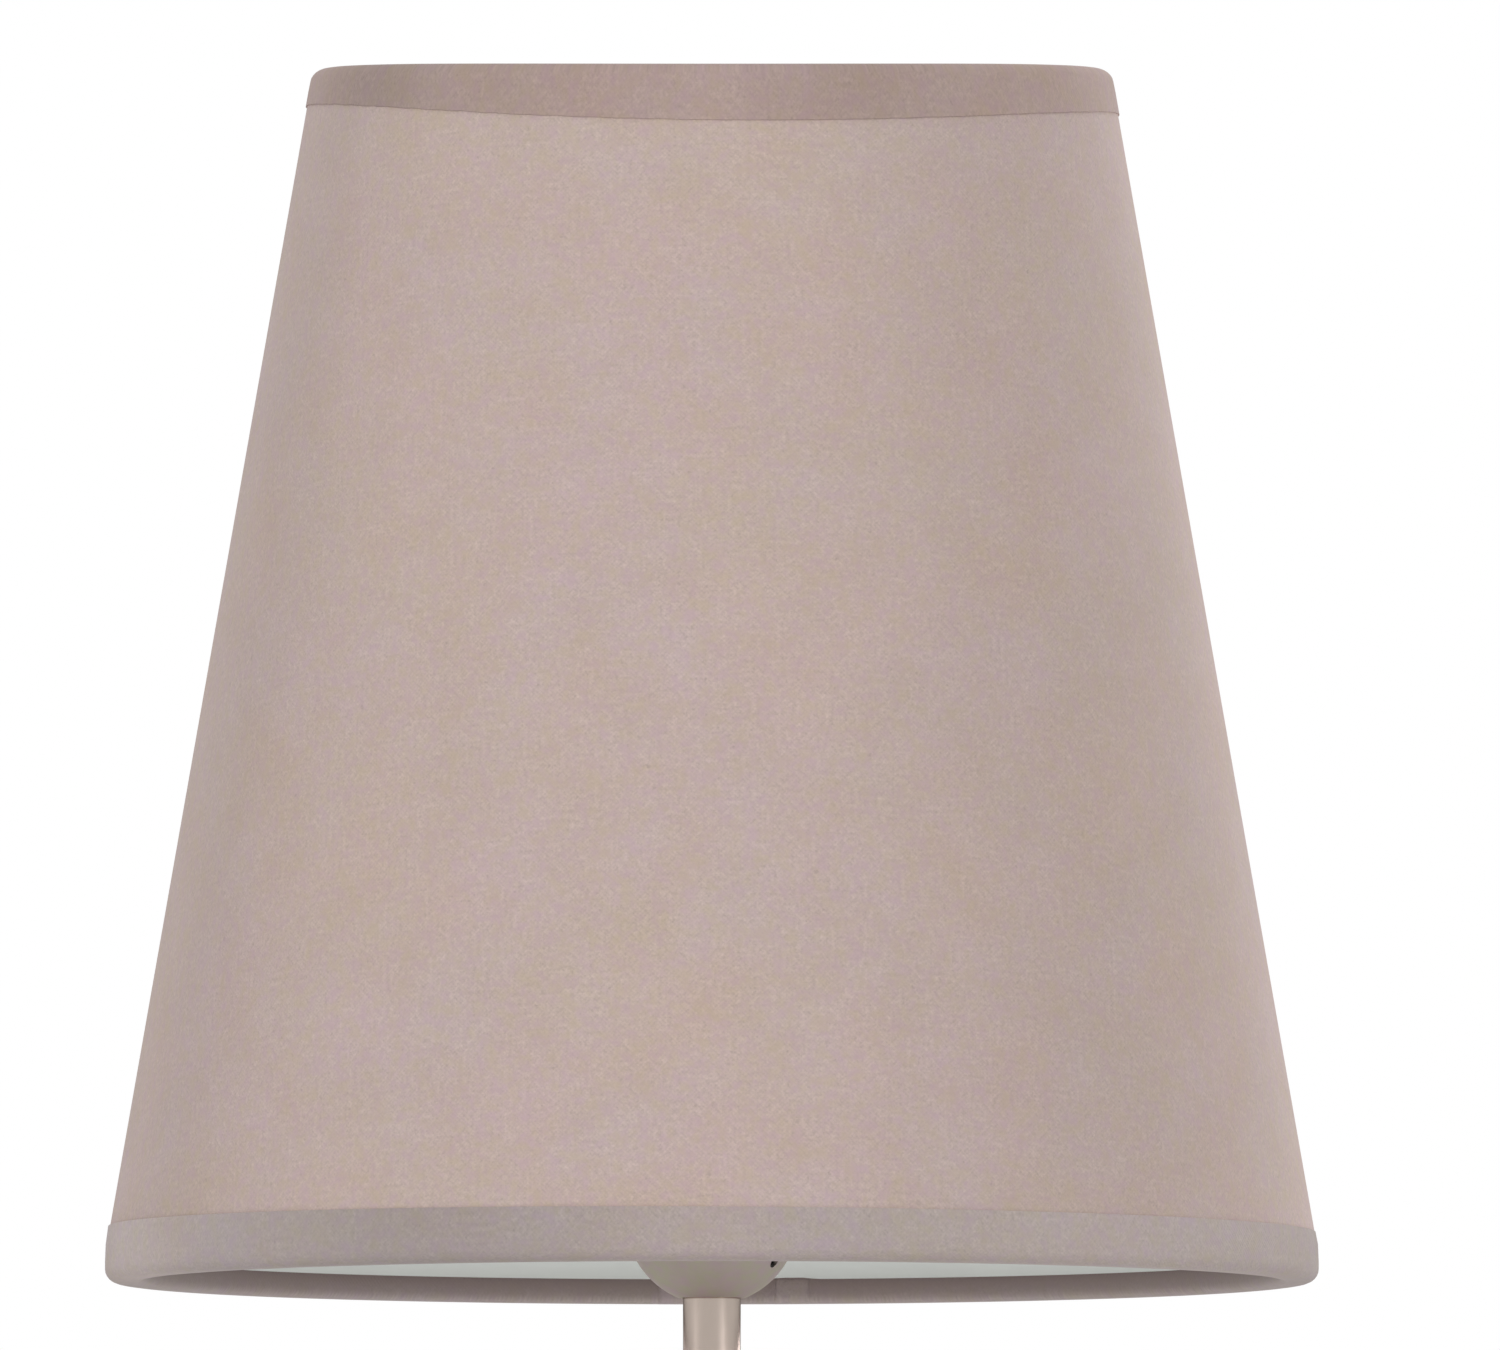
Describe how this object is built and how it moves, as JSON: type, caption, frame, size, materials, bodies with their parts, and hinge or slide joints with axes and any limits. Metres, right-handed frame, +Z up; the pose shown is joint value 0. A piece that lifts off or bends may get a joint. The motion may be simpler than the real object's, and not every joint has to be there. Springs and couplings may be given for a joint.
{
  "type": "table lamp",
  "caption": "Table lamp: round weighted base, slim column, screw-cap lampholder in a bowl-shaped cup, and a tapered fabric shade hung on a wire carrier.",
  "frame": {"origin": "centre of the base's underside, on the table", "axes": "+Z up the column, which is also the lampholder's and the shade's axis; the picture looks along +Y"},
  "size_m": [0.2098, 0.2098, 0.4],
  "materials": {
    "satin_nickel": "satin nickel plate, soft reflections",
    "cast_iron": "as cast",
    "felt": "dark pressed felt",
    "plain_steel": "zinc plated",
    "black_plastic": "moulded",
    "white_plastic": "moulded, slight sheen",
    "brass": "bare",
    "opal_glass": "opal, smooth",
    "bulb_metal": "rolled thread",
    "black_glass": "glazed",
    "solder": "dull",
    "shade_fabric": "fine plain weave, matt",
    "hem_fabric": "fine plain weave, folded over the edge",
    "shade_lining": "white film, matt",
    "white_wire": "white paint on steel wire"
  },
  "bodies": {
    "root": {"felt_pad": "felt", "base_weight": "cast_iron", "base_cover": "satin_nickel", "cord_bushing": "black_plastic", "clamp_washer": "plain_steel", "clamp_nut": "plain_steel", "column_tube": "satin_nickel", "column_collar": "satin_nickel", "holder_cup": "satin_nickel", "holder_cap": "white_plastic", "holder_skirt": "white_plastic", "contact_carrier": "white_plastic", "screw_shell": "brass", "centre_contact": "brass", "terminal_screw_right": "plain_steel", "terminal_screw_left": "plain_steel"},
    "shade": {"shade_fabric": "shade_fabric", "shade_lining": "shade_lining", "top_trim": "hem_fabric", "bottom_trim": "hem_fabric", "top_ring": "white_wire", "bottom_ring": "white_wire", "carrier_plate": "white_wire", "carrier_arm_1": "white_wire", "carrier_arm_2": "white_wire", "carrier_arm_3": "white_wire"},
    "shade_ring": {"shade_ring": "white_plastic"},
    "bulb_foot": {"bulb_contact": "solder"},
    "bulb": {"bulb_glass": "opal_glass", "bulb_cap": "bulb_metal", "bulb_insulator": "black_glass"}
  },
  "joints": [
    {"name": "shade_turn", "type": "hinge", "parent": "root", "child": "shade", "pos_m": [0, 0, 0.2148], "axis": [0, 0, 1], "continuous": true},
    {"name": "ring_unscrew", "type": "slide", "parent": "root", "child": "shade_ring", "axis": [0, 0, 1], "range_m": [0, 0.024]},
    {"name": "bulb_rise", "type": "slide", "parent": "root", "child": "bulb_foot", "axis": [0, 0, 1], "range_m": [0, 0.01412]},
    {"name": "bulb_turn", "type": "hinge", "parent": "bulb_foot", "child": "bulb", "pos_m": [0, 0, 0.2134], "axis": [0, 0, 1], "range_deg": [0, 1800]}
  ],
  "couplings": [
    {"joint": "bulb_rise", "follows": "bulb_turn", "m_per_rad": 0.00044913}
  ]
}
